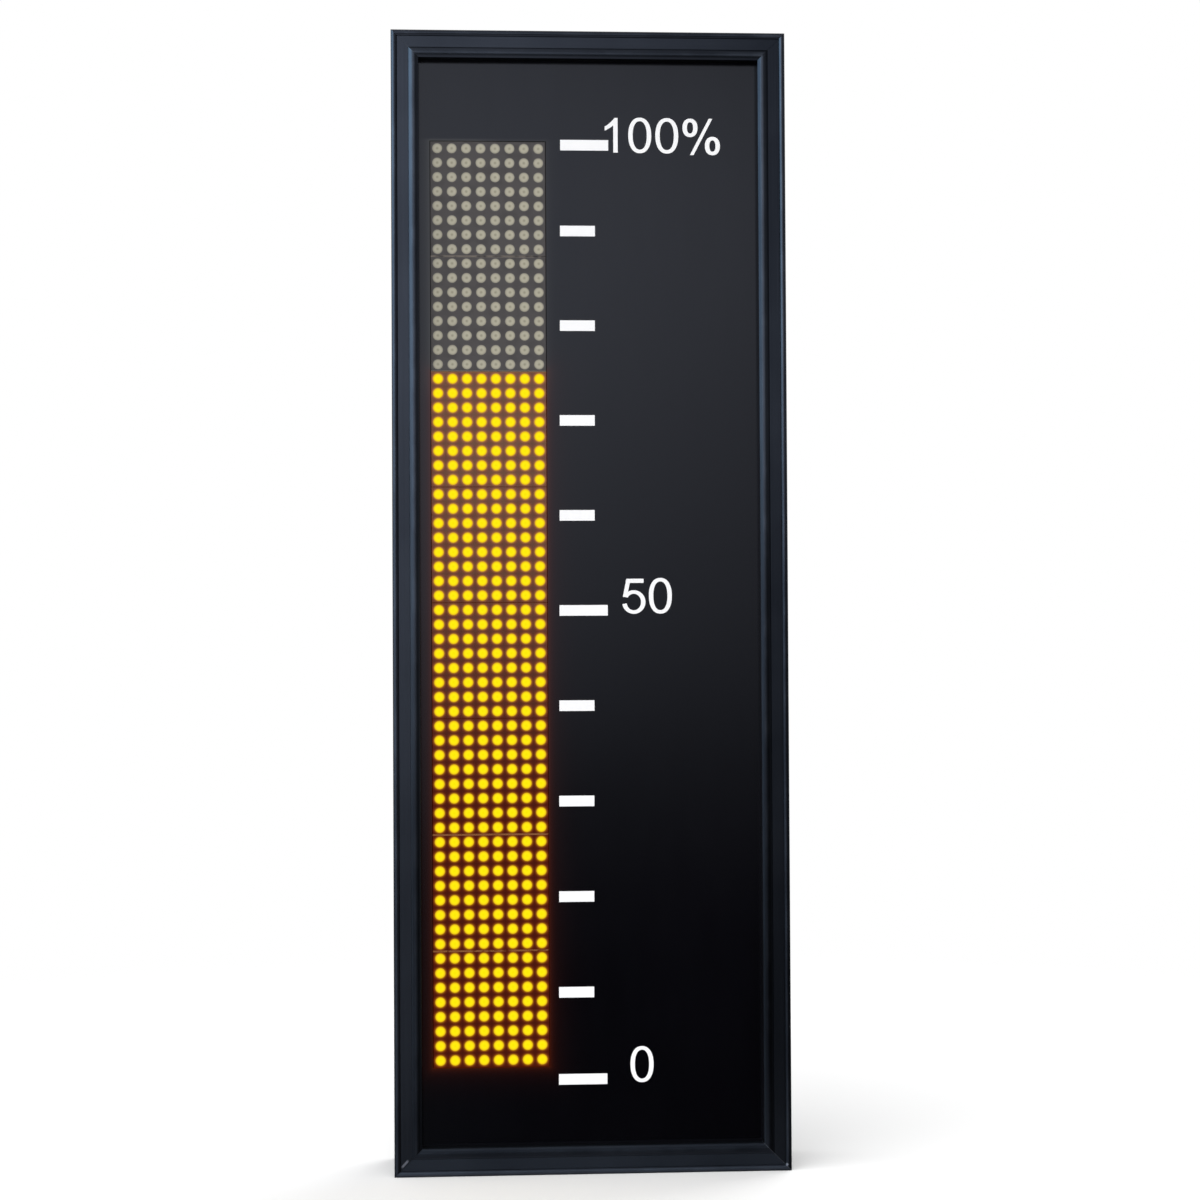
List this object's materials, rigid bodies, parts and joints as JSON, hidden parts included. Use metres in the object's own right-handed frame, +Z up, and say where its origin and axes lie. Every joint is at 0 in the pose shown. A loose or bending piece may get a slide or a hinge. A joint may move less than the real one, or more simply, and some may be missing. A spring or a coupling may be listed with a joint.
{
  "type": "led bar graph display",
  "caption": "Tall framed display panel: a column of dot-matrix LED modules shows a level against a white percent scale; threaded inserts at the back for mounting.",
  "frame": {"origin": "middle of the bottom edge, half way through the depth", "axes": "+X to the right of someone who reads the display, +Y from its front to its back, +Z up"},
  "size_m": [0.208, 0.05, 0.6],
  "materials": {
    "anodised_frame": "dark blue-grey anodised, satin",
    "cast_key": "die cast, bare",
    "zinc_screw": "zinc plated",
    "black_acrylic": "black acrylic sheet, satin",
    "white_vinyl": "cut white vinyl film",
    "module_shell": "moulded, face printed dark grey",
    "lit_epoxy": "diffused epoxy, lit yellow",
    "unlit_epoxy": "milky diffused epoxy, not lit",
    "green_board": "green solder mask on glass laminate",
    "plated_pins": "tin plated pins in a strip",
    "black_moulding": "moulded black plastic",
    "grey_ribbon": "grey ribbed cable",
    "brass_standoff": "turned",
    "bare_aluminium": "mill finish",
    "zinc_sheet": "zinc coated sheet",
    "supply_parts": "mixed: taped transformer, sleeved capacitors, heat sink",
    "blue_board": "blue solder mask on glass laminate",
    "green_moulding": "moulded green plastic",
    "red_lead": "soft insulation",
    "black_lead": "soft insulation",
    "coated_sheet": "fine-textured charcoal powder coat on steel",
    "black_screw": "blackened steel",
    "plated_insert": "yellow zinc plated",
    "black_rubber": "moulded rubber"
  },
  "bodies": {
    "root": {"frame_top": "anodised_frame", "frame_bottom": "anodised_frame", "frame_left": "anodised_frame", "frame_right": "anodised_frame", "corner_key_top_left": "cast_key", "corner_key_top_right": "cast_key", "corner_key_bottom_left": "cast_key", "corner_key_bottom_right": "cast_key", "corner_key_screws": "zinc_screw", "front_panel": "black_acrylic", "scale_marks": "white_vinyl", "led_module_1": "module_shell", "led_module_2": "module_shell", "led_module_3": "module_shell", "led_module_4": "module_shell", "led_module_5": "module_shell", "led_module_6": "module_shell", "led_module_7": "module_shell", "led_module_8": "module_shell", "led_dots_1": "lit_epoxy", "led_dots_2": "lit_epoxy", "led_dots_3": "lit_epoxy", "led_dots_4": "lit_epoxy", "led_dots_5": "lit_epoxy", "led_dots_6": "lit_epoxy", "led_dots_7": "unlit_epoxy", "led_dots_8": "unlit_epoxy", "module_back_boards": "green_board", "module_pins": "plated_pins", "driver_board_1": "green_board", "driver_board_2": "green_board", "driver_board_3": "green_board", "driver_board_4": "green_board", "pin_sockets": "black_moulding", "driver_chips": "black_moulding", "ribbon_headers": "black_moulding", "ribbon_plugs": "black_moulding", "ribbon_cables": "grey_ribbon", "board_standoffs": "brass_standoff", "board_screws": "zinc_screw", "board_rail_left": "bare_aluminium", "board_rail_right": "bare_aluminium", "rail_screws": "zinc_screw", "psu_base": "bare_aluminium", "psu_cover": "zinc_sheet", "psu_board": "green_board", "psu_parts": "supply_parts", "psu_terminal_strip": "black_moulding", "psu_screws": "zinc_screw", "control_board": "blue_board", "control_chips": "black_moulding", "control_terminals": "green_moulding", "control_standoffs": "brass_standoff", "control_screws": "zinc_screw", "power_lead_red": "red_lead", "power_lead_black": "black_lead", "rear_cover": "coated_sheet", "rear_cover_screws": "black_screw", "rivet_nuts": "plated_insert", "cable_grommets": "black_rubber"}
  },
  "joints": []
}
